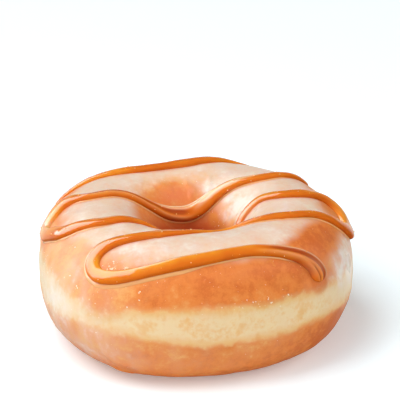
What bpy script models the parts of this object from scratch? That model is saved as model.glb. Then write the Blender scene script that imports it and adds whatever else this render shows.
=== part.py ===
"""Glazed ring doughnut with a thick caramel drizzle, in metres, +Z up.

The dough is one ring whose section is a rounded square, risen a little unevenly, with the flat base
that it was drained on. The drizzle is one rope of caramel, laid to and fro across the ring in five
passes, that sags into the hole and hangs over the sides where it turns back. It is thick enough to be
part of the solid, so it is joined to the dough. The glaze under it is too thin to have a solid.

A place on the surface is given by two angles in degrees: the way round the ring, counted from +X
towards +Y, and the way over the section, which is 0 at the outer side, 90 on the crest, 180 at the
wall of the hole and 270 at the base.
"""

import math

import bmesh
import bpy
import numpy as np

MM = 0.001

# The ring
CREST_RADIUS = 26.8 * MM       # from the middle of the hole to the crest
HOLE_RADIUS = 9.5 * MM         # at the narrowest height of the hole
SIDE_REACH = 18.8 * MM         # from the crest to the outer side, on average
WIDEST_HEIGHT = 19.8 * MM      # where the ring is widest and the hole narrowest
TOP_RISE = 18.9 * MM           # from there up to the crest
BASE_DROP = 20.2 * MM          # from there down to the base, before it was pressed flat
RING_CENTRE = (0.15 * MM, 0.6 * MM)   # puts the middle of the whole outline over the origin

# The section's squareness, 2 for an ellipse and more for a squarer corner
OUTER_TOP_POWER = 2.12
OUTER_BASE_POWER = 2.31
HOLE_TOP_POWER = 2.0
HOLE_BASE_POWER = 2.2

# How unevenly the sides rose: the number of bulges round the ring, how far they stand out, and the
# way to the first one in degrees
SIDE_BULGES = (
    (1, 0.8 * MM, 180),
    (2, 0.4 * MM, 33),
    (3, 0.7 * MM, 11),
    (4, 1.0 * MM, 54),
)

STEPS_ROUND_RING = 84
STEPS_ROUND_SECTION = 40

# The drizzle's section: its height, and how much of it is sunk into the dough
DRIZZLE_HEIGHT = 1.4 * MM
DRIZZLE_ROOT = 0.7 * MM
DRIZZLE_USUAL_WIDTH = 3.8 * MM  # the width at which it has that height
DRIZZLE_STEP = 2.7 * MM
CURVE_STEPS = 24               # between two points of the route

# Half of the drizzle's outline, as shares of its half width and of its height
DRIZZLE_OUTLINE = ((1.0, 0.1), (0.78, 0.68), (0.28, 1.0))

# The points that draw the drizzle along, from its free end at the back. Each has the two angles of
# its place and the drizzle's width there in millimetres. Angles over 360 go on from the turn before.
BACK_PASS = (
    (155, 28, 2.6), (153, 44, 2.8), (148, 59, 3.0), (140, 73, 3.4), (128, 84.5, 3.6),
    (112, 89.5, 3.7), (97, 86, 4.2), (84, 77, 4.2), (75, 59, 4.1), (66, 42, 3.9), (56, 31, 3.8),
    (46, 30, 3.8),
)
PASS_BEHIND_HOLE = (
    (39.5, 41, 3.6), (38, 60, 3.4), (38.5, 76, 3.3), (40, 91.5, 3.3), (46, 103.5, 3.2),
    (56, 114.5, 3.5), (70.5, 134, 4.0), (92, 148, 4.3), (115.5, 148, 4.3), (139, 141.5, 3.7),
    (156.5, 123.5, 3.5), (165, 100.5, 3.4), (175, 83, 3.6), (174.5, 69, 4.6), (173.5, 56, 5.5),
    (178, 43, 5.1),
)
PASS_THROUGH_HOLE = (
    (180, 33, 4.6), (186, 31, 4.3), (191, 39.5, 4.2), (200, 48.5, 4.1), (204, 65, 3.8),
    (211, 82.5, 3.5), (213.5, 99, 3.2), (217.5, 120, 2.8), (236, 146, 2.8), (268, 164, 3.0),
    (305, 167.5, 3.2), (339, 162, 3.2), (366, 147, 3.1), (376.5, 128, 2.9), (376, 112.5, 3.0),
    (369, 99, 3.4), (369.5, 83, 3.6), (373.5, 66, 3.9), (375, 48, 4.6), (371, 34, 5.1),
)
PASS_BEFORE_HOLE = (
    (365, 26, 5.3), (359.5, 28, 5.0), (356, 39, 4.0), (351.5, 55, 3.3), (348, 71, 3.0),
    (339, 83, 3.4), (330, 98.5, 3.6), (318, 119, 3.0), (296, 128, 2.6), (273, 115, 2.6),
    (253.5, 99, 3.2), (240.5, 85, 3.4), (231, 72.5, 3.3), (226.5, 57.5, 3.9), (227, 44.5, 4.2),
)
FRONT_PASS = (
    (232.5, 34, 4.1), (243.5, 41.5, 3.6), (255, 52.5, 3.8), (266.5, 59.5, 4.2), (280, 64, 3.8),
    (294, 66.5, 3.5), (308.5, 58.5, 3.8), (318, 44.5, 4.6), (321, 30.5, 5.2), (320.5, 19.5, 5.5),
)
DRIZZLE_ROUTE = BACK_PASS + PASS_BEHIND_HOLE + PASS_THROUGH_HOLE + PASS_BEFORE_HOLE + FRONT_PASS

DOUGH_COLOUR = (0.80, 0.45, 0.18)
DOUGH_ROUGHNESS = 0.4
CARAMEL_COLOUR = (0.75, 0.19, 0.015)
CARAMEL_ROUGHNESS = 0.15


def clear_scene():
    for obj in list(bpy.data.objects):
        bpy.data.objects.remove(obj, do_unlink=True)


def plain_material(name, colour, roughness):
    material = bpy.data.materials.new(name)
    material.use_nodes = True
    shader = material.node_tree.nodes["Principled BSDF"]
    shader.inputs["Base Color"].default_value = (*colour, 1.0)
    shader.inputs["Roughness"].default_value = roughness
    shader.inputs["Metallic"].default_value = 0.0
    return material


def side_reach(around):
    """How far the outer side stands from the crest, at an angle round the ring in radians."""
    reach = SIDE_REACH
    for bulges, height, first in SIDE_BULGES:
        reach = reach + height * np.cos(bulges * (around - math.radians(first)))
    return reach


def surface(around, over):
    """The dough's surface at the two angles, in radians."""
    outwards, upwards = np.cos(over), np.sin(over)
    outer, upper = outwards >= 0, upwards >= 0
    reach = np.where(outer, side_reach(around), CREST_RADIUS - HOLE_RADIUS)
    rise = np.where(upper, TOP_RISE, BASE_DROP)
    outer_power = np.where(upper, OUTER_TOP_POWER, OUTER_BASE_POWER)
    hole_power = np.where(upper, HOLE_TOP_POWER, HOLE_BASE_POWER)
    power = 2.0 / np.where(outer, outer_power, hole_power)
    radius = CREST_RADIUS + reach * np.sign(outwards) * np.abs(outwards) ** power
    height = WIDEST_HEIGHT + rise * np.sign(upwards) * np.abs(upwards) ** power
    return np.stack([
        RING_CENTRE[0] + radius * np.cos(around),
        RING_CENTRE[1] + radius * np.sin(around),
        np.maximum(height, 0.0),
    ], axis=-1)


def surface_directions(around, over):
    """The surface's change for a radian round the ring, for a radian over it, and its normal."""
    step = math.radians(1.0)
    along_ring = (surface(around + step, over) - surface(around - step, over)) / (2 * step)
    along_section = (surface(around, over + step) - surface(around, over - step)) / (2 * step)
    normal = np.cross(along_ring, along_section)
    return along_ring, along_section, normal / np.linalg.norm(normal, axis=-1, keepdims=True)


def closed_object(name, rows, capped, material):
    """A closed solid from a grid of points. The last row meets the first, or both are capped."""
    count, sides = rows.shape[:2]
    mesh_data = bmesh.new()
    verts = [[mesh_data.verts.new(point) for point in row] for row in rows.tolist()]
    for i in range(count - 1 if capped else count):
        here, there = verts[i], verts[(i + 1) % count]
        for j in range(sides):
            k = (j + 1) % sides
            mesh_data.faces.new((here[j], there[j], there[k], here[k]))
    if capped:
        mesh_data.faces.new(verts[0])
        mesh_data.faces.new(reversed(verts[-1]))
    bmesh.ops.triangulate(mesh_data, faces=mesh_data.faces[:])
    bmesh.ops.recalc_face_normals(mesh_data, faces=mesh_data.faces[:])
    mesh = bpy.data.meshes.new(name)
    mesh_data.to_mesh(mesh)
    mesh_data.free()
    mesh.materials.append(material)
    obj = bpy.data.objects.new(name, mesh)
    bpy.context.scene.collection.objects.link(obj)
    return obj


def make_dough(material):
    around = np.linspace(0, 2 * math.pi, STEPS_ROUND_RING, endpoint=False)
    over = np.linspace(0, 2 * math.pi, STEPS_ROUND_SECTION, endpoint=False)
    around, over = np.meshgrid(around, over, indexing="ij")
    return closed_object("doughnut", surface(around, over), False, material)


def smooth_route():
    """A cubic curve that the route's points draw along, at even steps: both angles and the width."""
    points = np.array(DRIZZLE_ROUTE, dtype=float)
    before, after = 2 * points[0] - points[1], 2 * points[-1] - points[-2]
    points = np.vstack([before, points, after])
    t = np.linspace(0, 1, CURVE_STEPS, endpoint=False)[:, None]
    pull_a = (1 - t) ** 3 / 6
    pull_b = (3 * t ** 3 - 6 * t ** 2 + 4) / 6
    pull_d = t ** 3 / 6
    pull_c = 1 - pull_a - pull_b - pull_d
    curve = [
        pull_a * a + pull_b * b + pull_c * c + pull_d * d
        for a, b, c, d in zip(points, points[1:], points[2:], points[3:])
    ]
    curve = np.vstack(curve + [points[-2:-1]])
    curve[:, :2] = np.radians(curve[:, :2])
    curve[:, 2] *= MM
    places = surface(curve[:, 0], curve[:, 1])
    distance = np.concatenate([[0], np.cumsum(np.linalg.norm(np.diff(places, axis=0), axis=1))])
    wanted = np.linspace(0, distance[-1], int(round(distance[-1] / DRIZZLE_STEP)) + 1)
    return wanted, np.stack([np.interp(wanted, distance, column) for column in curve.T], axis=1)


def rounded_ends(distance, width):
    """The drizzle's share of its full size, which falls off over half a width at both ends."""
    left = np.minimum(distance, distance[-1] - distance)
    reach = np.clip(1 - left / (0.5 * width + DRIZZLE_STEP), 0, 0.95)
    return np.sqrt(1 - reach ** 2)


def make_drizzle(material):
    distance, route = smooth_route()
    around, over, width = route.T
    size = rounded_ends(distance, width)
    half_width = 0.5 * width * size
    height = DRIZZLE_HEIGHT * width / DRIZZLE_USUAL_WIDTH * size
    heading = np.gradient(surface(around, over), axis=0)
    along_ring, along_section, normal = surface_directions(around, over)
    sideways = np.cross(normal, heading)
    sideways /= np.linalg.norm(sideways, axis=1, keepdims=True)
    turn_around = (sideways * along_ring).sum(axis=1) / (along_ring ** 2).sum(axis=1)
    turn_over = (sideways * along_section).sum(axis=1) / (along_section ** 2).sum(axis=1)
    right = [(share, rise) for share, rise in DRIZZLE_OUTLINE]
    left = [(-share, rise) for share, rise in reversed(DRIZZLE_OUTLINE)]
    columns = []
    for share, rise in right + left:
        shift = share * half_width
        place = around + shift * turn_around, over + shift * turn_over
        columns.append(surface(*place) + surface_directions(*place)[2] * (rise * height)[:, None])
    for share in (-0.9, 0.9):
        shift = share * half_width
        place = around + shift * turn_around, over + shift * turn_over
        columns.append(surface(*place) - surface_directions(*place)[2] * DRIZZLE_ROOT)
    return closed_object("drizzle", np.stack(columns, axis=1), True, material)


def join(base, addition):
    """Fuses the addition to the base with one union and removes it."""
    toppings = bpy.data.collections.new("toppings")
    bpy.context.scene.collection.children.link(toppings)
    bpy.context.scene.collection.objects.unlink(addition)
    toppings.objects.link(addition)
    union = base.modifiers.new("union", "BOOLEAN")
    union.operation = "UNION"
    union.operand_type = "COLLECTION"
    union.collection = toppings
    union.solver = "EXACT"
    union.use_self = True
    union.material_mode = "TRANSFER"
    depsgraph = bpy.context.evaluated_depsgraph_get()
    fused = bpy.data.meshes.new_from_object(base.evaluated_get(depsgraph))
    base.modifiers.clear()
    base.data = fused
    bpy.data.objects.remove(addition, do_unlink=True)
    bpy.data.collections.remove(toppings)


clear_scene()
dough = plain_material("glazed dough", DOUGH_COLOUR, DOUGH_ROUGHNESS)
caramel = plain_material("caramel", CARAMEL_COLOUR, CARAMEL_ROUGHNESS)
doughnut = make_dough(dough)
join(doughnut, make_drizzle(caramel))
doughnut.data.shade_smooth()
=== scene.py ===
"""The looks of the glazed ring doughnut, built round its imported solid.

The dough and its glaze are one fine mesh, and the caramel drizzle another. Both stand for the solid's
node and follow its form. A place on the ring is given by two angles: around, the way round the ring
from +X towards +Y, and over, the way over the section, 0 at the outer side, 90 on the crest, 180 at
the wall of the hole and 270 at the base. Turn and tilt are the same two angles in degrees.
"""

import math
from types import SimpleNamespace

import bmesh
import bpy
import numpy as np
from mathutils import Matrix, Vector, kdtree


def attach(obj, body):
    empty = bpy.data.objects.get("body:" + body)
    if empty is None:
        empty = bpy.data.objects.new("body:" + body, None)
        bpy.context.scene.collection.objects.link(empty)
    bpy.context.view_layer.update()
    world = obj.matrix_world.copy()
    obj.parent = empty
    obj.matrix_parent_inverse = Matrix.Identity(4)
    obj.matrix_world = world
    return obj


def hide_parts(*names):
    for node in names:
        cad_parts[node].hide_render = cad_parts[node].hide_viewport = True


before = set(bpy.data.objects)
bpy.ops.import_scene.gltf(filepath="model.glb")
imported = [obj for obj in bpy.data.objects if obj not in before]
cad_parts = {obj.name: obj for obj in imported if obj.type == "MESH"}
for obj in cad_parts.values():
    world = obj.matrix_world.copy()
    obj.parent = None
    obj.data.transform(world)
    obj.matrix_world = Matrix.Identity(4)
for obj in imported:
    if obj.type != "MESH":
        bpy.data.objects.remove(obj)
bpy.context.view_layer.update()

MM = 0.001

# The ring, as in the solid
CREST_RADIUS = 26.8 * MM
HOLE_RADIUS = 9.5 * MM
SIDE_REACH = 18.8 * MM
WIDEST_HEIGHT = 19.8 * MM
TOP_RISE = 18.9 * MM
BASE_DROP = 20.2 * MM
RING_CENTRE = (0.15 * MM, 0.6 * MM)
OUTER_TOP_POWER = 2.12
OUTER_BASE_POWER = 2.31
HOLE_TOP_POWER = 2.0
HOLE_BASE_POWER = 2.2
# How many bulges, how high they are and where the first one is, in degrees
SIDE_BULGES = (
    (1, 0.8 * MM, 180),
    (2, 0.4 * MM, 33),
    (3, 0.7 * MM, 11),
    (4, 1.0 * MM, 54),
)

# The drizzle's route, as in the solid: both angles in degrees and the width in millimetres
BACK_PASS = (
    (155, 28, 2.6), (153, 44, 2.8), (148, 59, 3.0), (140, 73, 3.4), (128, 84.5, 3.6),
    (112, 89.5, 3.7), (97, 86, 4.2), (84, 77, 4.2), (75, 59, 4.1), (66, 42, 3.9), (56, 31, 3.8),
    (46, 30, 3.8),
)
PASS_BEHIND_HOLE = (
    (39.5, 41, 3.6), (38, 60, 3.4), (38.5, 76, 3.3), (40, 91.5, 3.3), (46, 103.5, 3.2),
    (56, 114.5, 3.5), (70.5, 134, 4.0), (92, 148, 4.3), (115.5, 148, 4.3), (139, 141.5, 3.7),
    (156.5, 123.5, 3.5), (165, 100.5, 3.4), (175, 83, 3.6), (174.5, 69, 4.6), (173.5, 56, 5.5),
    (178, 43, 5.1),
)
PASS_THROUGH_HOLE = (
    (180, 33, 4.6), (186, 31, 4.3), (191, 39.5, 4.2), (200, 48.5, 4.1), (204, 65, 3.8),
    (211, 82.5, 3.5), (213.5, 99, 3.2), (217.5, 120, 2.8), (236, 146, 2.8), (268, 164, 3.0),
    (305, 167.5, 3.2), (339, 162, 3.2), (366, 147, 3.1), (376.5, 128, 2.9), (376, 112.5, 3.0),
    (369, 99, 3.4), (369.5, 83, 3.6), (373.5, 66, 3.9), (375, 48, 4.6), (371, 34, 5.1),
)
PASS_BEFORE_HOLE = (
    (365, 26, 5.3), (359.5, 28, 5.0), (356, 39, 4.0), (351.5, 55, 3.3), (348, 71, 3.0),
    (339, 83, 3.4), (330, 98.5, 3.6), (318, 119, 3.0), (296, 128, 2.6), (273, 115, 2.6),
    (253.5, 99, 3.2), (240.5, 85, 3.4), (231, 72.5, 3.3), (226.5, 57.5, 3.9), (227, 44.5, 4.2),
)
FRONT_PASS = (
    (232.5, 34, 4.1), (243.5, 41.5, 3.6), (255, 52.5, 3.8), (266.5, 59.5, 4.2), (280, 64, 3.8),
    (294, 66.5, 3.5), (308.5, 58.5, 3.8), (318, 44.5, 4.6), (321, 30.5, 5.2), (320.5, 19.5, 5.5),
)
DRIZZLE_ROUTE = BACK_PASS + PASS_BEHIND_HOLE + PASS_THROUGH_HOLE + PASS_BEFORE_HOLE + FRONT_PASS
DRIZZLE_HEIGHT = 1.4 * MM
DRIZZLE_USUAL_WIDTH = 3.8 * MM
# How deep the drizzle's underside lies in the dough
DRIZZLE_ROOT = 0.7 * MM
# The most that the inner side of a bend takes of the way to the middle of its circle
TIGHTEST_BEND = 0.85
CURVE_STEPS = 24

# How finely the pieces are meshed
STEPS_ROUND_RING = 440
STEPS_ROUND_SECTION = 220
DRIZZLE_STEP = 0.5 * MM
DRIZZLE_PROFILE_STEPS = 28


# The dough's marks
# A spot is a place and a spread, both as turn and tilt in degrees, and a strength. A range is where
# something starts to come in or to fade, and where it has done so.

# The pale band of the proof line: its top and foot over the section at places round the ring, in degrees
BAND_EDGES = (
    (30, 11, -9), (90, 13, -7), (130, 10, -9), (180, 14, -10), (207, 17, -8), (216, 16, -5),
    (228, 9, -2), (237, 4, -4), (246, 11, -4), (258, 13, -6), (270, 15, -8), (285, 13, -10),
    (300, 13, -9), (325, 13, -8), (345, 12, -8),
)
# How far its edges wander, in degrees of tilt, and how long the waves of its top and its foot are
BAND_WAVINESS = 2.5
BAND_TOP_WAVE = 9 * MM
BAND_FOOT_WAVE = 8 * MM
BAND_TOP_SOFTNESS = 5.0
BAND_FOOT_SOFTNESS = 3.6
# The dough steps back by this much in the band, over this range of its depth
BAND_STEP = 0.22 * MM
BAND_STEP_RANGE = (-0.5, 1.2)

# The milky glaze: how thick it is as a share, and the ranges of tilt of its cover and of all of it
GLAZE_ON_TOP = 0.92
GLAZE_ON_SIDES = 0.08
GLAZE_LEAST = 0.04
TOP_GLAZE_STARTS = (44, 72)
TOP_GLAZE_ENDS = (112, 140)
ANY_GLAZE_STARTS = (-75, -25)
ANY_GLAZE_ENDS = (175, 200)
# How far its cover's edges wander with clouds and streaks, in degrees of tilt
START_CLOUD = 9
START_STREAK = 4
END_CLOUD = 10
GLAZE_CLOUD_SIZE = 11 * MM
GLAZE_STREAK_SIZE = 3.5 * MM
# Draws the streaks out downwards
STREAK_STRETCH = (1, 1, 0.35)
STREAK_IN_SPOTS = 0.5
# How much less glaze holds where shade is painted low in the hole, and where the colour is darker towards
# the base
GLAZE_LOST_IN_SHADE_AND_BASE = 0.8
GLAZE_THICKNESS = 0.25 * MM
GLAZE_SPOTS = (
    ((213, 36), (36, 20), 0.19),
    ((212, 2), (32, 16), 0.46),
    ((222, -28), (28, 18), 0.40),
    ((344, 20), (17, 22), 0.85),
    ((20, 132), (46, 20), 1.00),
    ((72, 122), (12, 9), 0.75),
    ((288, 38), (34, 18), -0.16),
    ((333, 56), (17, 16), -0.75),
    ((10, 82), (44, 20), -0.06),
    ((110, 116), (44, 14), -0.62),
    ((27, 148), (8, 6), -0.40),
    ((8, 128), (5, 5), -0.45),
    ((50, 158), (22, 7), -0.40),
    ((64, 150), (6, 5), -0.50),
)
# Where the glaze is thick and white
WHITE_SPOTS = (
    ((22, 132), (36, 17), 1.00),
    ((72, 122), (11, 8), 0.85),
    ((210, 2), (24, 13), 0.60),
    ((222, -28), (26, 14), 0.30),
    ((293, 16), (6, 3), 0.50),
    ((300, 96), (30, 10), 0.25),
    ((230, 80), (30, 14), 0.35),
    ((344, 10), (16, 24), 0.80),
)

# How brown the crust is, as a share, and how much browner below the band
BROWN_USUAL = 0.46
BROWN_CLOUD = 0.22
BROWN_CLOUD_SIZE = 8 * MM
BROWN_MOTTLE = 0.16
BROWN_MOTTLE_SIZE = 2.6 * MM
BROWN_BELOW = 0.20
BROWN_BELOW_RANGE = (-20, -60)
BROWN_SPOTS = (
    ((290, 36), (34, 16), 0.26),
    ((331, 56), (16, 15), 0.40),
    ((205, 20), (38, 50), -0.30),
    ((20, 140), (40, 30), -0.35),
    ((108, 104), (36, 24), -0.28),
    ((335, -28), (24, 22), 0.65),
)
SALMON_SPOTS = (
    ((113, 127), (22, 12), 0.60),
    ((213, -30), (24, 18), 0.30),
    ((300, 45), (26, 8), 0.22),
    ((322, 40), (10, 12), 0.25),
)
HONEY_SPOTS = (
    ((27, 149), (10, 7), 0.60),
    ((8, 128), (7, 7), 0.55),
    ((64, 150), (7, 6), 0.60),
    ((140, 118), (16, 12), 0.35),
    ((104, 107), (44, 5), 0.50),
    ((48, 157), (24, 7), 0.55),
)
# Painted shade on the crust low in the hole, the place there that is left unshaded, and a darker colour
# towards the base
HOLE_SHADE = 0.9
HOLE_SHADE_STARTS = (130, 168)
HOLE_SHADE_ENDS = (215, 250)
UNSHADED_PLACE_IN_HOLE = ((24, 140), (34, 16))
DEEP_AT_BASE = 0.25
DEEP_AT_BASE_RANGE = (-45, -75)

# The dough's unevenness, from wide swells to small pores, and where it fades out towards the flat base
SWELL_SIZE = 13 * MM
SWELL_HEIGHT = 0.30 * MM
DENT_SIZE = 4.5 * MM
DENT_HEIGHT = 0.14 * MM
PORE_SIZE = 1.5 * MM
PORE_HEIGHT = 0.04 * MM
# The share of the pores' height that shows, before the glaze's own share comes off it
PORES_UNDER_GLAZE = 1.2
RELIEF_STARTS = (-78, -60)
RELIEF_ENDS = (240, 258)

# Fine creases and ridges: the line's places as turn and tilt, its width and its height
SURFACE_LINES = (
    (((235, -22), (236.5, -30), (239, -38), (239, -45)), 0.7 * MM, -0.35 * MM),
    (((229, -14), (232, -22), (231, -31)), 0.6 * MM, -0.20 * MM),
    (((290, 20), (300, 17.5), (311, 18), (320, 18.5)), 0.9 * MM, 0.28 * MM),
    (((246, -20), (252, -17), (258, -21)), 0.7 * MM, -0.18 * MM),
    (((198, 8), (203, -4), (201, -16)), 0.7 * MM, -0.20 * MM),
    (((336, -8), (342, -11)), 1.3 * MM, 0.40 * MM),
    (((238, -53), (243, -54)), 1.3 * MM, 0.35 * MM),
    (((30, 8), (48, 12), (60, 7)), 0.9 * MM, 0.25 * MM),
    (((100, -20), (108, -28), (106, -40)), 0.7 * MM, -0.30 * MM),
    (((150, 16), (162, 19), (172, 14)), 0.9 * MM, 0.25 * MM),
    (((122, 114), (114, 122)), 2.0 * MM, 0.30 * MM),
    (((98, 118), (92, 126), (96, 130)), 1.8 * MM, 0.35 * MM),
    (((79, 113), (77, 120)), 1.8 * MM, 0.35 * MM),
    (((46, 134), (41, 146)), 1.8 * MM, 0.35 * MM),
    (((26, 132), (22, 144)), 1.8 * MM, 0.30 * MM),
)
# How long a degree of turn is at the outer side, and a degree of tilt
TURN_DEGREE_LENGTH = 0.76 * MM
TILT_DEGREE_LENGTH = 0.33 * MM

# How far the caramel's stain, with painted contact shade and orange light through the caramel, reaches on
# the dough beside its lower edge, and beside its upper edge
STAIN_BELOW = 0.9 * MM
STAIN_ABOVE = 0.3 * MM
# How much lower a place counts for being nearer to the front, and the range of the lower side
STAIN_TO_FRONT = 0.5
LOWER_SIDE_RANGE = (-0.3, 0.5)


# The drizzle's marks
# A stretch of the drizzle is given by its first and last point of the route. A side is 1 to the right
# of the way it runs, and -1 to the left. Across the drizzle, 1 is its right edge and -1 its left.

# How uneven its width and height are, as shares
WIDTH_UNEVENNESS = 0.07
WIDTH_WAVE = 9 * MM
HEIGHT_UNEVENNESS = 0.12
HEIGHT_WAVE = 7 * MM
# The length of a rounded end as a share of the width, and how much of the rounding it goes through
END_LENGTH = 0.48
END_ROUNDING = 0.985
# How far the crest sags down a slope, as a share of half the width
SLUMP = 0.22

# Its foot, from outside inwards: the place across it, the share of the film's width, its height as a
# share of the whole, and its height in the film
FOOT = (
    (1.08, 1.00, -0.06, -0.05 * MM),
    (1.06, 0.93, -0.03, 0.12 * MM),
    (1.04, 0.60, 0.00, 0.16 * MM),
    (1.02, 0.25, 0.04, 0.18 * MM),
    (1.00, 0.05, 0.10, 0.12 * MM),
)
# The height of the upper skin's edge and of the rest, as shares, and the powers that round its profile
SKIN_EDGE = 0.16
SKIN_RISE = 0.84
SKIN_SIDE_POWER = 0.8
SKIN_TOP_POWER = 0.78
# Below this share of the height a place belongs to the foot
FOOT_TOP = 0.2

# Clear films at the foot: stretch, side and width
FILMS = (
    (58.5, 66.2, 1, 1.15 * MM),
    (66.2, 69.5, 1, 0.30 * MM),
    (27.5, 33.0, 1, 0.35 * MM),
    (49.0, 57.0, -1, 0.30 * MM),
    (14.0, 25.0, -1, 0.35 * MM),
)
# Pale rims, given in the same way: a pale glaze edge at the foot, which is partly painted light
RIMS = (
    (64.6, 72.2, -1, 0.38 * MM),
    (34.5, 38.0, -1, 0.30 * MM),
    (54.0, 60.0, 1, 0.30 * MM),
    (17.5, 24.5, 1, 0.34 * MM),
)
# From these widths up a film is as clear, a rim as pale, and both stand as high as they get
FULL_FILM = 0.25 * MM
FULL_RIM = 0.2 * MM
FULL_LIFT = 0.3 * MM
# A point of the profile is in the film from this share of its width
FILM_FROM = 0.1
# Where the painted highlight along a pale rim lies on the drizzle's flank, its spread and its strength
FLANK_HIGHLIGHT_PLACE = 0.82
FLANK_HIGHLIGHT_SPREAD = 0.14
FLANK_HIGHLIGHT_STRENGTH = 0.7

# Where a valley and a ridge run along the drizzle: stretch, the ridge's side, and the strength
RIDGES = (
    (68.6, 72.6, 1, 1.0),
    (19.4, 24.4, -1, 0.8),
    (44.8, 47.4, 1, 0.6),
)
# The valley and the ridge: place and spread across the drizzle, and strength
RIDGE_FORM = (
    (-0.42, 0.34, -1.2),
    (0.36, 0.30, 1.0),
)
# The fine groove that splits the ridge at the drizzle's front end
SPLIT_START = 70.4
SPLIT_FORM = (0.38, 0.13, -1.7)
# How much a ridge of strength 1 adds to the drizzle's height, as a share, and to the clear film's colour
RIDGE_HEIGHT = 0.24
RIDGE_CLEARNESS = 0.5
# Ridges show only above this share of the height
RIDGES_ABOVE = 0.3
# Painted highlight lines along the drizzle: stretch, place and spread across it, and strength
PAINTED_HIGHLIGHT_LINES = (
    (32.6, 35.0, -0.35, 0.14, 0.8),
    (54.4, 58.6, 0.05, 0.16, 0.8),
    (15.6, 18.6, 0.42, 0.30, 0.85),
)

# How deep the caramel's colour is: as a rule, with painted shade on the low flank, in clouds, with
# painted shade in a valley, and with painted contact shade at the foot
DEPTH_USUAL = 0.34
SHADE_ON_LOW_FLANK = 0.34
DEPTH_CLOUD = 0.18
DEPTH_CLOUD_SIZE = 7 * MM
SHADE_IN_VALLEY = 0.75
DEPTH_RIDGE_LIMIT = 0.2
SHADE_AT_FOOT = 0.12
# The way that the low flank faces; the flank facing this way is painted darker, as shade
LOW_FLANK_WAY = (0.0, -0.5, -1.6)
# Spots of deeper caramel, and at negative strengths of more golden caramel; the two low in the hole are
# painted shade
DEEP_SPOTS = (
    ((318, 44), (10, 16), 0.30),
    ((116, 150), (34, 14), 0.34),
    ((300, 165), (60, 16), 0.30),
    ((345, 40), (16, 18), 0.10),
    ((255, 56), (14, 10), -0.22),
    ((233, 40), (10, 16), -0.22),
    ((21, 111), (16, 12), -0.36),
    ((150, 70), (16, 26), -0.26),
    ((177, 38), (9, 14), -0.50),
    ((60, 118), (16, 12), -0.20),
)
FILM_SPOTS = (
    ((177, 33), (8, 9), 0.80),
    ((12, 136), (6, 12), 0.35),
    ((12, 34), (5, 8), 0.15),
)
# Spots in the rim's pale colour, where the caramel is thin and a painted reflection lies on it
PALE_AND_REFLECTION_SPOTS = (
    ((178, 34), (8, 9), 0.75),
    ((12, 136), (5, 10), 0.25),
    ((320, 34), (5, 8), 0.15),
)


# Flakes and bubbles

# Patches of dry glaze flakes: place and spread as turn and tilt, how many, and the largest one's size
FLAKE_PATCHES = (
    ((204, 4), (20, 24), 150, 0.75 * MM),
    ((240, 47), (4.0, 2.6), 40, 1.1 * MM),
    ((293, 16), (7, 3), 18, 0.75 * MM),
    ((270, 30), (48, 24), 170, 0.28 * MM),
    ((300, -20), (60, 14), 60, 0.26 * MM),
    ((66, 152), (16, 8), 14, 0.40 * MM),
    ((105, 112), (24, 9), 16, 0.50 * MM),
    ((90, 20), (60, 30), 110, 0.36 * MM),
    ((10, 15), (30, 30), 50, 0.36 * MM),
)
FLAKE_SIDES = 7
# A flake's breadth and half its thickness as shares of its size, and how small its corners and it get
FLAKE_BREADTH = 0.7
FLAKE_HALF_THICKNESS = 0.16
FLAKE_NEAREST_CORNER = 0.55
FLAKE_SMALLEST = 0.3
# Above 1, this makes small flakes more usual than large ones
FLAKE_SIZE_POWER = 1.6
FLAKE_LIFT = 0.03 * MM

BUBBLE_COUNT = 110
BUBBLE_SIZES = (0.09 * MM, 0.24 * MM)
# Bubbles keep this many steps of the mesh off the drizzle's ends and off its edges
BUBBLES_OFF_ENDS = 8
BUBBLES_OFF_EDGES = 5


# The camera, and where the middle of the ring comes in the picture
CAMERA_DISTANCE = 0.7
CAMERA_ELEVATION = 24
FOCAL_PIXELS = 2443
PICTURE_PIXELS = 400
RING_PIXEL = (195.94, 264.69)
AIM_HEIGHT = 19.2 * MM
SENSOR_MM = 36


# Noise and masks

NOISE_CELLS = 32
# Keeps the places that noise is read at above 0
NOISE_ORIGIN = 100.5
# Keeps a division from failing where the divisor is 0
ALMOST_NOTHING = 1e-6


def soft_noise(points, size, seed):
    """Smooth random values from -1 to 1 at the points, with blobs of about that size. Each use has
    a seed of its own."""
    table = np.random.default_rng(seed).uniform(-1, 1, (NOISE_CELLS, NOISE_CELLS, NOISE_CELLS))
    place = points / size + NOISE_ORIGIN
    corner = np.floor(place).astype(int)
    share = place - corner
    share = share * share * (3 - 2 * share)
    total = 0
    for dx in (0, 1):
        for dy in (0, 1):
            for dz in (0, 1):
                weight = (
                    np.abs(1 - dx - share[..., 0]) * np.abs(1 - dy - share[..., 1])
                    * np.abs(1 - dz - share[..., 2])
                )
                x, y, z = ((corner[..., k] + d) % NOISE_CELLS for k, d in enumerate((dx, dy, dz)))
                total = total + weight * table[x, y, z]
    return total


def layered_noise(points, size, seed):
    """Three layers of noise, each half the size and half the strength of the one before."""
    total = soft_noise(points, size, seed)
    total = total + 0.5 * soft_noise(points, size / 2, seed + 1)
    return (total + 0.25 * soft_noise(points, size / 4, seed + 2)) / 1.75


def ramp(low, high, value):
    """0 at low, 1 at high, the same beyond them, and smooth between them."""
    share = np.clip((value - low) / (high - low), 0, 1)
    return share * share * (3 - 2 * share)


def plateau(starts, ends, value):
    """0 to 1 over the first range of the value, and back to 0 over the second."""
    return ramp(*starts, value) * (1 - ramp(*ends, value))


def hump(across, place, spread, strength):
    """A smooth hump or hollow across the drizzle."""
    return strength * math.exp(-((across - place) / spread) ** 2)


def spot(turn, tilt, place, spread):
    """1 at a place on the ring, falling to 0 over the spread."""
    across = (turn - place[0] + 180) % 360 - 180
    return np.exp(-(across / spread[0]) ** 2 - ((tilt - place[1]) / spread[1]) ** 2)


def spots(turn, tilt, table):
    """The sum of the soft spots in a table."""
    return sum(strength * spot(turn, tilt, place, spread) for place, spread, strength in table)


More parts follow.
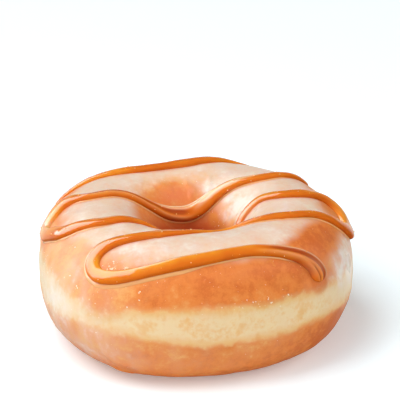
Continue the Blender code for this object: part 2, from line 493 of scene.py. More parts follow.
def line_mask(turn, tilt, places, width):
    """1 on a line over the surface, falling to 0 over the width."""
    nearest = np.full(np.shape(turn), 1.0)
    for (turn_a, tilt_a), (turn_b, tilt_b) in zip(places, places[1:]):
        run_x = (turn_b - turn_a) * TURN_DEGREE_LENGTH
        run_y = (tilt_b - tilt_a) * TILT_DEGREE_LENGTH
        x = (turn - turn_a) * TURN_DEGREE_LENGTH
        y = (tilt - tilt_a) * TILT_DEGREE_LENGTH
        share = np.clip((x * run_x + y * run_y) / (run_x ** 2 + run_y ** 2), 0, 1)
        nearest = np.minimum(nearest, np.hypot(x - share * run_x, y - share * run_y))
    return np.exp(-(nearest / width) ** 2)


# The form of the ring

def side_reach(around):
    """How far the outer side stands from the crest."""
    reach = SIDE_REACH
    for bulges, height, first in SIDE_BULGES:
        reach = reach + height * np.cos(bulges * (around - math.radians(first)))
    return reach


def plain_surface(around, over):
    """The solid's surface at the two angles, in radians."""
    outwards, upwards = np.cos(over), np.sin(over)
    outer, upper = outwards >= 0, upwards >= 0
    reach = np.where(outer, side_reach(around), CREST_RADIUS - HOLE_RADIUS)
    rise = np.where(upper, TOP_RISE, BASE_DROP)
    outer_power = np.where(upper, OUTER_TOP_POWER, OUTER_BASE_POWER)
    hole_power = np.where(upper, HOLE_TOP_POWER, HOLE_BASE_POWER)
    power = 2.0 / np.where(outer, outer_power, hole_power)
    radius = CREST_RADIUS + reach * np.sign(outwards) * np.abs(outwards) ** power
    height = WIDEST_HEIGHT + rise * np.sign(upwards) * np.abs(upwards) ** power
    return np.stack([
        RING_CENTRE[0] + radius * np.cos(around),
        RING_CENTRE[1] + radius * np.sin(around),
        np.maximum(height, 0.0),
    ], axis=-1)


def surface_directions(around, over):
    """The surface's change for a radian round the ring, for a radian over it, and its normal."""
    step = math.radians(1.0)
    along_ring = (plain_surface(around + step, over) - plain_surface(around - step, over)) / (2 * step)
    along_section = (plain_surface(around, over + step) - plain_surface(around, over - step)) / (2 * step)
    normal = np.cross(along_ring, along_section)
    return along_ring, along_section, normal / np.linalg.norm(normal, axis=-1, keepdims=True)


def degrees_of(around, over):
    """Turn and tilt: both angles in degrees, the second from -90 at the base to 270."""
    return np.degrees(around) % 360, (np.degrees(over) + 90) % 360 - 90


# The dough

def band_depth(around, over, points):
    """How deep in the pale band a place is: 0 at its edges, and 1 where it is fully pale."""
    turn, tilt = degrees_of(around, over)
    places, tops, feet = np.array(BAND_EDGES, dtype=float).T
    top = np.interp(turn, places, tops, period=360)
    top = top + BAND_WAVINESS * layered_noise(points, BAND_TOP_WAVE, 11)
    foot = np.interp(turn, places, feet, period=360)
    foot = foot + BAND_WAVINESS * layered_noise(points, BAND_FOOT_WAVE, 21)
    return np.minimum((top - tilt) / BAND_TOP_SOFTNESS, (tilt - foot) / BAND_FOOT_SOFTNESS)


def hole_shade_and_base_mask(around, over):
    """How much shade is painted on the crust low in the hole, and how much darker it is towards the base.
    """
    turn, tilt = degrees_of(around, over)
    hole = HOLE_SHADE * plateau(HOLE_SHADE_STARTS, HOLE_SHADE_ENDS, tilt)
    hole = hole * (1 - spot(turn, tilt, *UNSHADED_PLACE_IN_HOLE))
    return hole + DEEP_AT_BASE * ramp(*DEEP_AT_BASE_RANGE, tilt)


def glaze_mask(around, over, points):
    """How thick the milky glaze is, from 0 to 1."""
    turn, tilt = degrees_of(around, over)
    cloud = layered_noise(points, GLAZE_CLOUD_SIZE, 31)
    streak = layered_noise(points * STREAK_STRETCH, GLAZE_STREAK_SIZE, 35)
    starts = ramp(*TOP_GLAZE_STARTS, tilt + START_CLOUD * cloud + START_STREAK * streak)
    ends = ramp(*TOP_GLAZE_ENDS, tilt + END_CLOUD * cloud)
    on_sides = GLAZE_ON_SIDES * (1 + cloud + streak)
    glaze = np.maximum(GLAZE_ON_TOP * starts * (1 - ends), on_sides)
    glaze = glaze + spots(turn, tilt, GLAZE_SPOTS) * (1 + STREAK_IN_SPOTS * streak)
    glaze = np.clip(glaze, GLAZE_LEAST, 1) * plateau(ANY_GLAZE_STARTS, ANY_GLAZE_ENDS, tilt)
    return glaze * (1 - GLAZE_LOST_IN_SHADE_AND_BASE * hole_shade_and_base_mask(around, over))


def brown_mask(around, over, points):
    """How brown the fried crust is, from 0 to 1."""
    turn, tilt = degrees_of(around, over)
    cloud = layered_noise(points, BROWN_CLOUD_SIZE, 41)
    mottle = layered_noise(points, BROWN_MOTTLE_SIZE, 45)
    brown = BROWN_USUAL + BROWN_CLOUD * cloud + BROWN_MOTTLE * mottle + spots(turn, tilt, BROWN_SPOTS)
    return np.clip(brown + BROWN_BELOW * ramp(*BROWN_BELOW_RANGE, tilt), 0, 1)


def stain_and_shade_mask(points):
    """Where the dough is stained by the caramel and painted with its contact shade and the orange light
    through it: 1 at the drizzle's edges, mostly on the lower side.
    """
    _, around, over, width, _ = smooth_route(DRIZZLE_STEP)
    middle = plain_surface(around, over)
    tree = kdtree.KDTree(len(middle))
    for index, place in enumerate(middle):
        tree.insert(place, index)
    tree.balance()
    flat_points = points.reshape(-1, 3)
    nearest = np.array([tree.find(place)[1:] for place in flat_points])
    index = nearest[:, 0].astype(int)
    distance = nearest[:, 1]
    past_edge = np.maximum(0, distance - 0.5 * width[index])
    to_middle = middle[index] - flat_points
    drop = to_middle[:, 2] + STAIN_TO_FRONT * to_middle[:, 1]
    below = ramp(*LOWER_SIDE_RANGE, drop / np.maximum(distance, ALMOST_NOTHING))
    reach = STAIN_ABOVE + (STAIN_BELOW - STAIN_ABOVE) * below
    return np.exp(-(past_edge / reach) ** 2).reshape(points.shape[:2])


def relief(around, over, points):
    """How far the real surface stands out from the plain one."""
    turn, tilt = degrees_of(around, over)
    band = ramp(*BAND_STEP_RANGE, band_depth(around, over, points))
    glaze = glaze_mask(around, over, points)
    rise = SWELL_HEIGHT * soft_noise(points, SWELL_SIZE, 51)
    rise = rise + DENT_HEIGHT * layered_noise(points, DENT_SIZE, 53)
    rise = rise + GLAZE_THICKNESS * glaze - BAND_STEP * band
    rise = rise + PORE_HEIGHT * soft_noise(points, PORE_SIZE, 57) * (PORES_UNDER_GLAZE - glaze)
    for places, width, height in SURFACE_LINES:
        rise = rise + height * line_mask(turn, tilt, places, width)
    return rise * plateau(RELIEF_STARTS, RELIEF_ENDS, tilt)


def glazed_surface(around, over):
    """The dough's real surface, with its unevenness and glaze."""
    points = plain_surface(around, over)
    normal = surface_directions(around, over)[2]
    return points + normal * relief(around, over, points)[..., None]


def in_scene(name, data):
    """A new object in the scene."""
    obj = bpy.data.objects.new(name, data)
    bpy.context.scene.collection.objects.link(obj)
    return obj


def mesh_object(name, corners, faces, smooth):
    """A new mesh in the scene, from its corners and faces."""
    mesh = bpy.data.meshes.new(name)
    mesh.from_pydata(corners, [], faces)
    mesh.validate()
    if smooth:
        mesh.shade_smooth()
    return in_scene(name, mesh)


def grid_object(name, rows, closed):
    """A smooth mesh from a grid of points, with each row a ring. Where it is closed, the last ring
    joins the first, and otherwise both are capped."""
    count, sides = rows.shape[:2]
    here = np.arange(count * sides).reshape(count, sides)
    there = np.roll(here, -1, axis=0)
    if not closed:
        here, there = here[:-1], there[:-1]
    quads = np.stack([here, there, np.roll(there, -1, axis=1), np.roll(here, -1, axis=1)], axis=-1)
    faces = quads.reshape(-1, 4).tolist()
    if not closed:
        last = (count - 1) * sides
        faces.append(list(range(sides)))
        faces.append([last + k for k in reversed(range(sides))])
    return mesh_object(name, rows.reshape(-1, 3).tolist(), faces, smooth=True)


def add_mask(obj, name, values):
    """Keeps a value for each point, for the material."""
    mask = obj.data.attributes.new(name, "FLOAT", "POINT")
    mask.data.foreach_set("value", np.ascontiguousarray(values, dtype=np.float32).ravel())


def make_dough():
    """The dough with its glaze, and the masks that its material reads."""
    around = np.linspace(0, 2 * math.pi, STEPS_ROUND_RING, endpoint=False)
    over = np.linspace(0, 2 * math.pi, STEPS_ROUND_SECTION, endpoint=False)
    around, over = np.meshgrid(around, over, indexing="ij")
    points = plain_surface(around, over)
    turn, tilt = degrees_of(around, over)
    obj = grid_object("glazed_dough", glazed_surface(around, over), closed=True)
    add_mask(obj, "band", band_depth(around, over, points))
    add_mask(obj, "glaze", glaze_mask(around, over, points))
    add_mask(obj, "brown", brown_mask(around, over, points))
    # Painted shade low in the hole, and the darker colour towards the base
    add_mask(obj, "deep_and_shade", hole_shade_and_base_mask(around, over))
    add_mask(obj, "white", spots(turn, tilt, WHITE_SPOTS))
    add_mask(obj, "salmon", spots(turn, tilt, SALMON_SPOTS))
    add_mask(obj, "honey", spots(turn, tilt, HONEY_SPOTS))
    # The stain beside the drizzle, which is partly painted contact shade and orange light
    add_mask(obj, "stain_and_shade", stain_and_shade_mask(points))
    return obj


# The drizzle

def smooth_route(step):
    """A cubic curve that the route's points draw along: distance, both angles, the width, and the
    number of the route's point."""
    points = np.array([(*point, number) for number, point in enumerate(DRIZZLE_ROUTE)], dtype=float)
    before, after = 2 * points[0] - points[1], 2 * points[-1] - points[-2]
    points = np.vstack([before, points, after])
    t = np.linspace(0, 1, CURVE_STEPS, endpoint=False)[:, None]
    pull_a = (1 - t) ** 3 / 6
    pull_b = (3 * t ** 3 - 6 * t ** 2 + 4) / 6
    pull_d = t ** 3 / 6
    pull_c = 1 - pull_a - pull_b - pull_d
    curve = [
        pull_a * a + pull_b * b + pull_c * c + pull_d * d
        for a, b, c, d in zip(points, points[1:], points[2:], points[3:])
    ]
    curve = np.vstack(curve + [points[-2:-1]])
    curve[:, :2] = np.radians(curve[:, :2])
    curve[:, 2] *= MM
    places = plain_surface(curve[:, 0], curve[:, 1])
    distance = np.concatenate([[0], np.cumsum(np.linalg.norm(np.diff(places, axis=0), axis=1))])
    wanted = np.linspace(0, distance[-1], int(round(distance[-1] / step)) + 1)
    return (wanted, *(np.interp(wanted, distance, column) for column in curve.T))


def evened(values, rounds=8):
    """The values, each evened out with its neighbours."""
    for _ in range(rounds):
        padded = np.concatenate([values[:1], values, values[-1:]])
        values = (padded[:-2] + 2 * padded[1:-1] + padded[2:]) / 4
    return values


def stretch(number, first, last, soft=0.6):
    """1 between two points of the route, with soft ends."""
    return plateau((first - soft, first + soft), (last - soft, last + soft), number)


def foot_width(table, number, side):
    """How wide the films or rims of a table are on one side, along the route."""
    total = np.zeros_like(number)
    for first, last, table_side, width in table:
        if table_side == side:
            total = np.maximum(total, width * stretch(number, first, last))
    return total


def drizzle_run():
    """The drizzle's measures at each step along its route."""
    distance, around, over, width, number = smooth_route(DRIZZLE_STEP)
    middle = plain_surface(around, over)
    width = width * (1 + WIDTH_UNEVENNESS * soft_noise(middle, WIDTH_WAVE, 61))
    left_over = np.minimum(distance, distance[-1] - distance)
    size = np.sqrt(1 - np.clip(1 - left_over / (END_LENGTH * width), 0, END_ROUNDING) ** 2)
    height = DRIZZLE_HEIGHT * width / DRIZZLE_USUAL_WIDTH * size
    height = height * (1 + HEIGHT_UNEVENNESS * soft_noise(middle, HEIGHT_WAVE, 63))
    half_width = 0.5 * width * size
    heading = np.gradient(middle, axis=0)
    along_ring, along_section, normal = surface_directions(around, over)
    sideways = np.cross(heading, normal)
    sideways /= np.linalg.norm(sideways, axis=1, keepdims=True)
    step = np.linalg.norm(heading, axis=1)
    bend = evened((np.gradient(heading / step[:, None], axis=0) * sideways).sum(axis=1) / step)
    crowding = np.maximum(np.abs(bend) * half_width, ALMOST_NOTHING)
    return SimpleNamespace(
        number=number,
        around=around,
        over=over,
        size=size,
        height=height,
        half_width=half_width,
        turn_around=(sideways * along_ring).sum(axis=1) / (along_ring ** 2).sum(axis=1),
        turn_over=(sideways * along_section).sum(axis=1) / (along_section ** 2).sum(axis=1),
        slump=-SLUMP * sideways[:, 2],
        faces_low=np.clip(sideways @ np.array(LOW_FLANK_WAY), -1, 1),
        inner_side=np.sign(bend),
        inner_share=evened(np.minimum(1, TIGHTEST_BEND / crowding)),
        films={side: foot_width(FILMS, number, side) * size for side in (1, -1)},
        rims={side: foot_width(RIMS, number, side) * size for side in (1, -1)},
    )


def drizzle_profile():
    """The drizzle's outline from its right foot over the top to its left foot, as in FOOT."""
    turn = np.linspace(0, math.pi, DRIZZLE_PROFILE_STEPS)
    across = np.sign(np.cos(turn)) * np.abs(np.cos(turn)) ** SKIN_SIDE_POWER
    rise = SKIN_EDGE + SKIN_RISE * np.sin(turn) ** SKIN_TOP_POWER
    skin = np.stack([across, 0 * turn, rise, 0 * turn], axis=1)
    right = np.array(FOOT)
    left = right[::-1] * (-1, 1, 1, 1)
    return np.vstack([right, skin, left])


def reach_of(run, side):
    """How far the drizzle reaches to one side, less inside a tight bend."""
    return run.half_width * np.where(run.inner_side == side, run.inner_share, 1.0)


def place_beside(run, shift):
    """Both angles of the places that far to the right of the route."""
    return run.around + shift * run.turn_around, run.over + shift * run.turn_over


def ridges_at(run, across):
    """The valleys, ridges and the split, along one line of the profile."""
    total = 0 * run.number
    for first, last, side, strength in RIDGES:
        form = sum(hump(side * across, *parts) for parts in RIDGE_FORM)
        total = total + strength * stretch(run.number, first, last) * form
    split = stretch(run.number, SPLIT_START, run.number[-1] + 1)
    return total + split * hump(across, *SPLIT_FORM)


def rim_and_highlight_at(run, across, in_foot, in_film, side):
    """How pale the caramel is along one line of the profile: at its rims, a pale glaze edge that is
    partly painted light, with a painted highlight on the flank, and in painted highlight lines.
    """
    flank_highlight = hump(abs(across), FLANK_HIGHLIGHT_PLACE, FLANK_HIGHLIGHT_SPREAD, FLANK_HIGHLIGHT_STRENGTH)
    rim = max(in_film, flank_highlight) * np.minimum(1, run.rims[side] / FULL_RIM)
    lines = () if in_foot else PAINTED_HIGHLIGHT_LINES
    for first, last, place, spread, strength in lines:
        rim = np.maximum(rim, hump(across, place, spread, strength) * stretch(run.number, first, last))
    return rim


def skin_line(run, across, film, rise, lift):
    """The points along one line of the profile, with their masks: the deep colour with its painted shade,
    the clear film, and the pale rim with its painted highlights.
    """
    side = 1 if across > 0 else -1
    foot = run.films[side] + run.rims[side]
    ridges = ridges_at(run, across) if rise > RIDGES_ABOVE else 0 * run.number
    sag = run.slump * max(0.0, 1 - across ** 2)
    place = place_beside(run, reach_of(run, side) * (across + sag) + side * film * foot)
    stand = rise * run.height * (1 + RIDGE_HEIGHT * ridges)
    stand = stand + lift * np.minimum(1, foot / FULL_LIFT) * run.size
    points = glazed_surface(*place) + surface_directions(*place)[2] * stand[:, None]
    turn, tilt = degrees_of(*place)
    in_film = film > FILM_FROM
    in_foot = rise <= FOOT_TOP
    # Painted shade: darker on the low flank, in valleys, and at the foot where the drizzle meets the
    # dough
    deep_and_shade = DEPTH_USUAL + SHADE_ON_LOW_FLANK * across * run.faces_low
    deep_and_shade = deep_and_shade + DEPTH_CLOUD * layered_noise(points, DEPTH_CLOUD_SIZE, 67)
    deep_and_shade = deep_and_shade - SHADE_IN_VALLEY * np.minimum(ridges, DEPTH_RIDGE_LIMIT)
    deep_and_shade = deep_and_shade + spots(turn, tilt, DEEP_SPOTS) + SHADE_AT_FOOT * in_foot
    clear = in_film * np.minimum(1, run.films[side] / FULL_FILM)
    clear = clear + RIDGE_CLEARNESS * np.maximum(ridges, 0) + spots(turn, tilt, FILM_SPOTS)
    # The pale rim, with painted highlights and reflections
    rim = np.maximum(rim_and_highlight_at(run, across, in_foot, in_film, side), spots(turn, tilt, PALE_AND_REFLECTION_SPOTS))
    return points, deep_and_shade, clear, rim


def root_line(run, side):
    """The points along one edge of the drizzle's underside, in the dough, with their masks."""
    place = place_beside(run, side * reach_of(run, side))
    points = plain_surface(*place) - surface_directions(*place)[2] * DRIZZLE_ROOT
    return points, 1 + 0 * run.number, 0 * run.number, 0 * run.number


def make_drizzle():
    """The drizzle, and the grid of its points, which the bubbles sit on."""
    run = drizzle_run()
    lines = [skin_line(run, *part) for part in drizzle_profile()]
    lines += [root_line(run, side) for side in (-1, 1)]
    rows, deep_and_shade, film, rim = (np.stack(values, axis=1) for values in zip(*lines))
    obj = grid_object("caramel_drizzle", rows, closed=False)
    # The deep colour, with its painted shade
    add_mask(obj, "deep_and_shade", deep_and_shade)
    add_mask(obj, "film", np.clip(film, 0, 1))
    # The pale rims, and the painted highlights and reflections
    add_mask(obj, "rim", rim)
    return obj, rows


# Flakes and bubbles

def flake_shape(rng, size):
    """A flat, uneven closed flake lying in the XY plane."""
    turn = np.linspace(0, 2 * math.pi, FLAKE_SIDES, endpoint=False) + rng.uniform(0, 6)
    reach = 0.5 * size * rng.uniform(FLAKE_NEAREST_CORNER, 1.0, FLAKE_SIDES)
    thick = FLAKE_HALF_THICKNESS * size
    rim = np.stack([reach * np.cos(turn), FLAKE_BREADTH * reach * np.sin(turn), 0 * turn], axis=1)
    return np.vstack([rim, [(0, 0, thick)], [(0, 0, -thick)]])


def flake_faces(number):
    """The faces of the flake with that number: a fan over its rim, and one under it."""
    first = number * (FLAKE_SIDES + 2)
    for k in range(FLAKE_SIDES):
        here, after = first + k, first + (k + 1) % FLAKE_SIDES
        yield here, after, first + FLAKE_SIDES
        yield after, here, first + FLAKE_SIDES + 1


def spun_axes(around, over, spin):
    """Two axes along the dough's surface, turned by the spin, and its normal."""
    along_ring, _, normal = surface_directions(around, over)
    x_way = along_ring / np.linalg.norm(along_ring)
    y_way = np.cross(normal, x_way)
    return np.stack([
        math.cos(spin) * x_way + math.sin(spin) * y_way,
        math.cos(spin) * y_way - math.sin(spin) * x_way,
        normal,
    ])


def make_flakes():
    """Flakes of dry glaze, each flat on the dough and turned at random."""
    rng = np.random.default_rng(71)
    corners, faces = [], []
    for place, spread, count, largest in FLAKE_PATCHES:
        for _ in range(count):
            around, over = np.radians(rng.normal(place, spread))
            size = largest * rng.uniform(FLAKE_SMALLEST, 1.0) ** FLAKE_SIZE_POWER
            axes = spun_axes(around, over, rng.uniform(0, 2 * math.pi))
            middle = glazed_surface(around, over) + axes[2] * FLAKE_LIFT
            faces.extend(flake_faces(len(corners)))
            corners.append(middle + flake_shape(rng, size) @ axes)
    return mesh_object("glaze_flakes", np.vstack(corners).tolist(), faces, smooth=False)


def make_bubbles(rows):
    """Tiny beads of air, half sunk in the drizzle's top."""
    rng = np.random.default_rng(73)
    ball = bmesh.new()
    bmesh.ops.create_icosphere(ball, subdivisions=2, radius=1.0)
    ball_corners = np.array([vertex.co[:] for vertex in ball.verts])
    ball_faces = np.array([[vertex.index for vertex in face.verts] for face in ball.faces])
    ball.free()
    first_column = len(FOOT) + BUBBLES_OFF_EDGES
    last_column = len(FOOT) + DRIZZLE_PROFILE_STEPS - BUBBLES_OFF_EDGES
    smallest, largest = BUBBLE_SIZES
    corners, faces = [], []
    for number in range(BUBBLE_COUNT):
        row = rng.integers(BUBBLES_OFF_ENDS, len(rows) - BUBBLES_OFF_ENDS)
        column = rng.integers(first_column, last_column)
        size = smallest + (largest - smallest) * rng.uniform() ** 2
        corners.append(rows[row, column] + size * ball_corners)
        faces.extend((ball_faces + number * len(ball_corners)).tolist())
    return mesh_object("caramel_bubbles", np.vstack(corners).tolist(), faces, smooth=True)


# Materials

class Nodes:
    """Adds nodes to a material or a world, and joins them."""

    def __init__(self, owner):
        owner.use_nodes = True
        self.owner = owner
        self.tree = owner.node_tree

    def put(self, value, socket):
        """Links a node's output to a socket, or sets the socket's own value."""
        if isinstance(value, bpy.types.NodeSocket):
            self.tree.links.new(value, socket)
        elif socket.type == "RGBA":
            socket.default_value = (*value, 1.0)
        else:
            socket.default_value = value

    def add(self, kind, output=0, settings=None, **inputs):
        """A new node's output, with the node's inputs given by name."""
        node = self.tree.nodes.new(kind)
        for key, value in (settings or {}).items():
            setattr(node, key, value)
        for key, value in inputs.items():
            self.put(value, node.inputs[key.replace("_", " ")])
        return node.outputs[output]

    def mask(self, name):
        """The values that add_mask keeps under that name."""
        return self.add("ShaderNodeAttribute", "Fac", {"attribute_name": name})

    def maths(self, operation, first, second=0.0):
        node = self.tree.nodes.new("ShaderNodeMath")
        node.operation = operation
        self.put(first, node.inputs[0])
        self.put(second, node.inputs[1])
        return node.outputs[0]

    def mix(self, share, first, second):
        """The first colour, with that share of the second."""
        node = self.tree.nodes.new("ShaderNodeMix")
        node.data_type = "RGBA"
        for key, value in (("Factor", share), ("A", first), ("B", second)):
            self.put(value, node.inputs[key])
        return node.outputs["Result"]

    def noise(self, size, detail=3.0):
        """Noise from 0 to 1 with blobs of about that size, fixed to the piece."""
        place = self.add("ShaderNodeTexCoord", "Object")
        return self.add(
            "ShaderNodeTexNoise", 0, Vector=place, Scale=1 / size, Detail=detail, Roughness=0.55
        )

    def vary(self, base, *noises):
        """The value with noises added, each given with its strength."""
        for noise, strength in noises:
            swing = self.maths("MULTIPLY", self.maths("SUBTRACT", noise, 0.5), strength)
            base = self.maths("ADD", base, swing)
        return base

    def between(self, value, low, high, start=0.0, end=1.0):
        """The start below low, the end above high, and smooth between them."""
        node = self.tree.nodes.new("ShaderNodeMapRange")
        node.interpolation_type = "SMOOTHSTEP"
        limits = {"Value": value, "From Min": low, "From Max": high, "To Min": start, "To Max": end}
        for key, part in limits.items():
            self.put(part, node.inputs[key])
        return node.outputs["Result"]

    def bump(self, height, strength, distance, **inputs):
        return self.add(
            "ShaderNodeBump", 0, Height=height, Strength=strength, Distance=distance, **inputs
        )

    def facing(self, way):
        """How much a place in the room lies that way, from -1 to 1."""
        node = self.tree.nodes.new("ShaderNodeVectorMath")
        node.operation = "DOT_PRODUCT"
        self.put(self.add("ShaderNodeTexCoord", "Generated"), node.inputs[0])
        self.put(Vector(way).normalized(), node.inputs[1])
        return node.outputs["Value"]

    def finish(self, **values):
        """Sets the shader's inputs by name, and gives back the material."""
        shader = self.tree.nodes["Principled BSDF"]
        for key, value in values.items():
            self.put(value, shader.inputs[key.replace("_", " ")])
        return self.owner


GOLDEN_CRUST = (0.80, 0.37, 0.11)
ORANGE_CRUST = (0.76, 0.225, 0.044)
BROWN_CRUST = (0.62, 0.130, 0.020)
# The colour of the painted shade low in the hole, also used for the darker base
SHADE_AND_DEEP_CRUST = (0.42, 0.034, 0.003)
SALMON_CRUST = (0.74, 0.21, 0.10)
HONEY_CRUST = (0.84, 0.34, 0.06)
PALE_BAND = (0.84, 0.62, 0.35)
GOLDEN_BAND = (0.82, 0.47, 0.18)
MILKY_GLAZE = (0.80, 0.65, 0.525)
WHITE_GLAZE = (0.87, 0.79, 0.71)
# A dark orange for the stain beside the drizzle, which is partly painted contact shade and orange light
# through the caramel
STAINED_AND_SHADED_DOUGH = (0.66, 0.15, 0.025)
# The sizes of the marks in the dough's colour
BLOTCH_SIZE = 4.5 * MM
FINE_SIZE = 1.3 * MM
TINY_SIZE = 0.4 * MM
# How much of the bare dough's colour the thickest glaze hides, and how strong the caramel's stain with
# its painted shade and orange light is
GLAZE_COVER = 0.9
STAIN_AND_SHADE_STRENGTH = 0.55
CRUST_ROUGHNESS = 0.46
GLAZE_SMOOTHING = 0.12


def crust_colour(n, blotch, fine, tiny):
    """The fried crust, from golden over orange to brown, with its salmon and honey places, painted shade
    low in the hole, and a darker colour towards the base.
    """
    brown = n.vary(n.mask("brown"), (blotch, 1.2), (fine, 0.7), (tiny, 0.3))
    crust = n.mix(n.between(brown, 0.0, 0.5), GOLDEN_CRUST, ORANGE_CRUST)
    crust = n.mix(n.between(brown, 0.45, 1.0), crust, BROWN_CRUST)
    crust = n.mix(n.mask("salmon"), crust, SALMON_CRUST)
    honey = n.vary(n.mask("honey"), (blotch, 1.2), (fine, 1.0))
    crust = n.mix(n.between(honey, 0.1, 0.7), crust, HONEY_CRUST)
    # Painted shade low in the hole, and the darker colour towards the base
    return n.mix(n.mask("deep_and_shade"), crust, SHADE_AND_DEEP_CRUST)


def banded_colour(n, crust, blotch, fine, tiny):
    """The crust with the pale band, whose edges are golden."""
    depth = n.vary(n.mask("band"), (blotch, 2.6), (fine, 0.9), (tiny, 0.3))
    golden = n.mix(n.between(depth, -1.3, 0.4), crust, GOLDEN_BAND)
    patches = n.between(n.vary(0.35, (blotch, 2.0), (fine, 1.2)), 0.2, 0.9)
    return n.mix(n.between(depth, -0.4, 1.4), golden, n.mix(patches, PALE_BAND, GOLDEN_BAND))


def glazed_colour(n, bare, blotch, fine):
    """The bare dough under the milky glaze, which is white where it is thick."""
    patchy = n.vary(1.02, (blotch, 1.2), (fine, 0.8))
    cover = n.between(n.maths("MULTIPLY", n.mask("glaze"), patchy), -0.05, 1.05)
    white = n.between(n.vary(n.mask("white"), (blotch, 2.0), (fine, 0.9)), 0.0, 0.9)
    return n.mix(n.maths("MULTIPLY", cover, GLAZE_COVER), bare, n.mix(white, MILKY_GLAZE, WHITE_GLAZE))


def dough_material():
    n = Nodes(bpy.data.materials.new("glazed dough"))
    blotch = n.noise(BLOTCH_SIZE, 4.0)
    fine = n.noise(FINE_SIZE, 4.0)
    tiny = n.noise(TINY_SIZE, 2.0)
    bare = banded_colour(n, crust_colour(n, blotch, fine, tiny), blotch, fine, tiny)
    colour = glazed_colour(n, bare, blotch, fine)
    # The stain beside the drizzle, which is partly painted contact shade and orange light
    colour = n.mix(n.maths("MULTIPLY", n.mask("stain_and_shade"), STAIN_AND_SHADE_STRENGTH), colour, STAINED_AND_SHADED_DOUGH)
    smoothing = n.maths("ADD", n.mask("glaze"), n.mask("white"))
    smoothing = n.maths("MULTIPLY", smoothing, GLAZE_SMOOTHING)
    grain = n.bump(tiny, 0.25, 0.1 * MM)
    return n.finish(
        Base_Color=colour,
        Roughness=n.maths("SUBTRACT", CRUST_ROUGHNESS, smoothing),
        Specular_IOR_Level=0.15,
        Subsurface_Weight=0.3,
        Subsurface_Radius=(1.0, 0.45, 0.2),
        Subsurface_Scale=1.6 * MM,
        Normal=n.bump(fine, 0.35, 0.25 * MM, Normal=grain),
    )


GOLDEN_CARAMEL = (0.84, 0.31, 0.018)
AMBER_CARAMEL = (0.70, 0.155, 0.004)
DEEP_AND_SHADED_CARAMEL = (0.44, 0.066, 0.004)
CLEAR_FILM = (0.84, 0.40, 0.16)
# One cream colour for the pale rims and for the painted highlights and reflections
CREAM_RIM_AND_HIGHLIGHT = (0.84, 0.55, 0.34)
CARAMEL_CLOUD_SIZE = 6.0 * MM


def caramel_material():
    n = Nodes(bpy.data.materials.new("caramel"))
    cloud = n.noise(CARAMEL_CLOUD_SIZE)
    deep_and_shade = n.vary(n.mask("deep_and_shade"), (cloud, 0.5))
    colour = n.mix(n.between(deep_and_shade, -0.1, 0.5), GOLDEN_CARAMEL, AMBER_CARAMEL)
    # The deep caramel also paints the shade on the low flank, in valleys, at the foot and low in the hole
    colour = n.mix(n.between(deep_and_shade, 0.4, 1.1), colour, DEEP_AND_SHADED_CARAMEL)
    colour = n.mix(n.mask("film"), colour, CLEAR_FILM)
    # The pale rims, and the painted highlights and reflections
    colour = n.mix(n.mask("rim"), colour, CREAM_RIM_AND_HIGHLIGHT)
    return n.finish(
        Base_Color=colour,
        Roughness=0.10,
        Subsurface_Weight=0.35,
        Subsurface_Radius=(1.0, 0.35, 0.08),
        Subsurface_Scale=1.0 * MM,
        IOR=1.5,
        Normal=n.bump(cloud, 0.25, 0.2 * MM),
    )


def mottled_material(name, size, first, second, roughness, glow):
    """Two colours in soft patches, for the small pieces. The glow is light scattered inside."""
    n = Nodes(bpy.data.materials.new(name))
    return n.finish(
        Base_Color=n.mix(n.between(n.noise(size), 0.4, 0.6), first, second),
        Roughness=roughness,
        Subsurface_Weight=glow,
        Subsurface_Scale=0.5 * MM,
    )


def flake_material():
    return mottled_material("dry glaze", 1.5 * MM, (0.93, 0.66, 0.42), (0.96, 0.82, 0.68), 0.35, 0.2)


def bubble_material():
    return mottled_material("bubbles", 2.0 * MM, (0.88, 0.40, 0.08), (0.93, 0.60, 0.28), 0.15, 0.3)


# The stage

FLOOR_SIZE = 6.0
# A cool white, so that the warm light off the doughnut leaves its shadow grey
FLOOR_COLOUR = (0.80, 0.91, 0.96)
# A little light of its own keeps the floor white up to the edges of the picture
FLOOR_GLOW = (0.97, 1.0, 1.0)
FLOOR_GLOW_STRENGTH = 0.26

# Each soft light: the way to it as a turn from +Y towards -X and a height in degrees, its distance and
# its width and height in metres, its power in watts, and whether it lights surfaces or shows in gloss
SOFT_LIGHTS = (
    ("key", 107, 60, 1.3, (1.0, 1.0), 14.5, True, False),
    ("crown", 165, 66, 1.4, (1.4, 1.4), 2.5, True, False),
    ("fill", 150, 30, 1.5, (1.4, 1.2), 8.0, True, False),
    ("side", 262, 33, 1.6, (1.6, 1.0), 11.5, True, False),
    ("window", 70, 40, 1.0, (1.2, 1.15), 28.0, False, True),
)
LIGHT_TARGET = (0, 0, 20 * MM)

ROOM_COLOUR = (1.0, 0.93, 0.86)
# The room is brightest above and to the front left, and dimmest opposite
BRIGHT_SIDE = (-0.35, -0.45, 0.8)
BRIGHT_RANGE = (-0.5, 0.8)
BRIGHT_STRENGTH = 0.30
DIM_STRENGTH = 0.06
# Behind the doughnut the room is bright along the horizon, which gives the drizzle its pale rims
HORIZON_SIDE = (-0.3, 0.95, 0.0)
HORIZON_SIDE_RANGE = (0.1, 0.7)
HORIZON_MIDDLE = -0.20
HORIZON_FADE = (0.26, 0.46)
HORIZON_STRENGTH = 0.9


def floor_material():
    return Nodes(bpy.data.materials.new("white table")).finish(
        Base_Color=FLOOR_COLOUR,
        Roughness=0.9,
        Specular_IOR_Level=0.0,
        Emission_Color=FLOOR_GLOW,
        Emission_Strength=FLOOR_GLOW_STRENGTH,
    )


def make_floor():
    far = FLOOR_SIZE / 2
    corners = [(-far, -far, 0), (far, -far, 0), (far, far, 0), (-far, far, 0)]
    floor = mesh_object("table_top", corners, [(0, 1, 2, 3)], smooth=False)
    floor.data.materials.append(floor_material())
    floor.visible_glossy = False


def aim(obj, place, target):
    """Puts a camera or a light at a place, and turns it to the target."""
    obj.location = place
    obj.rotation_euler = (Vector(target) - Vector(place)).to_track_quat("-Z", "Y").to_euler()


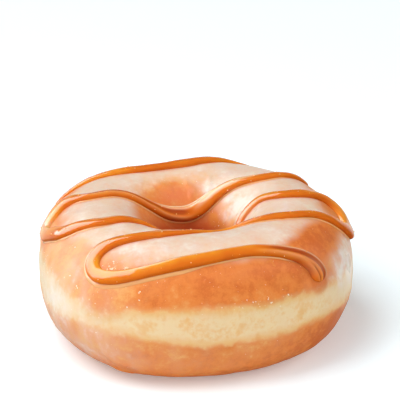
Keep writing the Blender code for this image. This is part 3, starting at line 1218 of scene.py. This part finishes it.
def make_camera():
    tilt = math.radians(CAMERA_ELEVATION)
    back = Vector((0, -math.cos(tilt), math.sin(tilt)))
    up = Vector((0, math.sin(tilt), math.cos(tilt)))
    ring = Vector((*RING_CENTRE, AIM_HEIGHT))
    per_pixel = CAMERA_DISTANCE / FOCAL_PIXELS
    half = PICTURE_PIXELS / 2
    target = ring + Vector((1, 0, 0)) * (half - RING_PIXEL[0]) * per_pixel
    target += up * (RING_PIXEL[1] - half) * per_pixel
    camera = bpy.data.cameras.new("camera")
    camera.sensor_width = SENSOR_MM
    camera.lens = FOCAL_PIXELS * SENSOR_MM / PICTURE_PIXELS
    camera.clip_start = 0.01
    obj = in_scene("camera", camera)
    aim(obj, ring + back * CAMERA_DISTANCE, target)
    bpy.context.scene.camera = obj


def make_lights():
    for name, turn, height, distance, size, power, lights_surfaces, shows_in_gloss in SOFT_LIGHTS:
        turn, height = math.radians(turn), math.radians(height)
        level = Vector((-math.sin(turn), math.cos(turn), 0)) * math.cos(height)
        way = level + Vector((0, 0, math.sin(height)))
        light = bpy.data.lights.new(name, "AREA")
        light.shape = "RECTANGLE"
        light.size, light.size_y = size
        light.energy = power
        obj = in_scene(name, light)
        obj.visible_diffuse = lights_surfaces
        obj.visible_glossy = shows_in_gloss
        aim(obj, way * distance, LIGHT_TARGET)


def make_room():
    """The room shows only in gloss, because the soft lights light the surfaces."""
    world = bpy.data.worlds.new("studio")
    n = Nodes(world)
    overall = n.between(n.facing(BRIGHT_SIDE), *BRIGHT_RANGE, DIM_STRENGTH, BRIGHT_STRENGTH)
    off_horizon = n.maths("ABSOLUTE", n.maths("SUBTRACT", n.facing((0, 0, 1)), HORIZON_MIDDLE))
    along_horizon = n.between(off_horizon, *HORIZON_FADE, 1.0, 0.0)
    behind = n.between(n.facing(HORIZON_SIDE), *HORIZON_SIDE_RANGE, 0.0, HORIZON_STRENGTH)
    strength = n.maths("ADD", overall, n.maths("MULTIPLY", along_horizon, behind))
    background = n.tree.nodes["Background"]
    n.put(ROOM_COLOUR, background.inputs["Color"])
    n.put(strength, background.inputs["Strength"])
    world.cycles_visibility.diffuse = False
    bpy.context.scene.world = world
    bpy.context.scene.view_settings.view_transform = "Standard"


# The pieces

dough = make_dough()
dough.data.materials.append(dough_material())
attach(dough, "root")
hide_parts("doughnut")

flakes = make_flakes()
flakes.data.materials.append(flake_material())
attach(flakes, "root")

drizzle, drizzle_rows = make_drizzle()
drizzle.data.materials.append(caramel_material())
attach(drizzle, "root")
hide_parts("doughnut")

bubbles = make_bubbles(drizzle_rows)
bubbles.data.materials.append(bubble_material())
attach(bubbles, "root")

make_floor()
make_camera()
make_lights()
make_room()
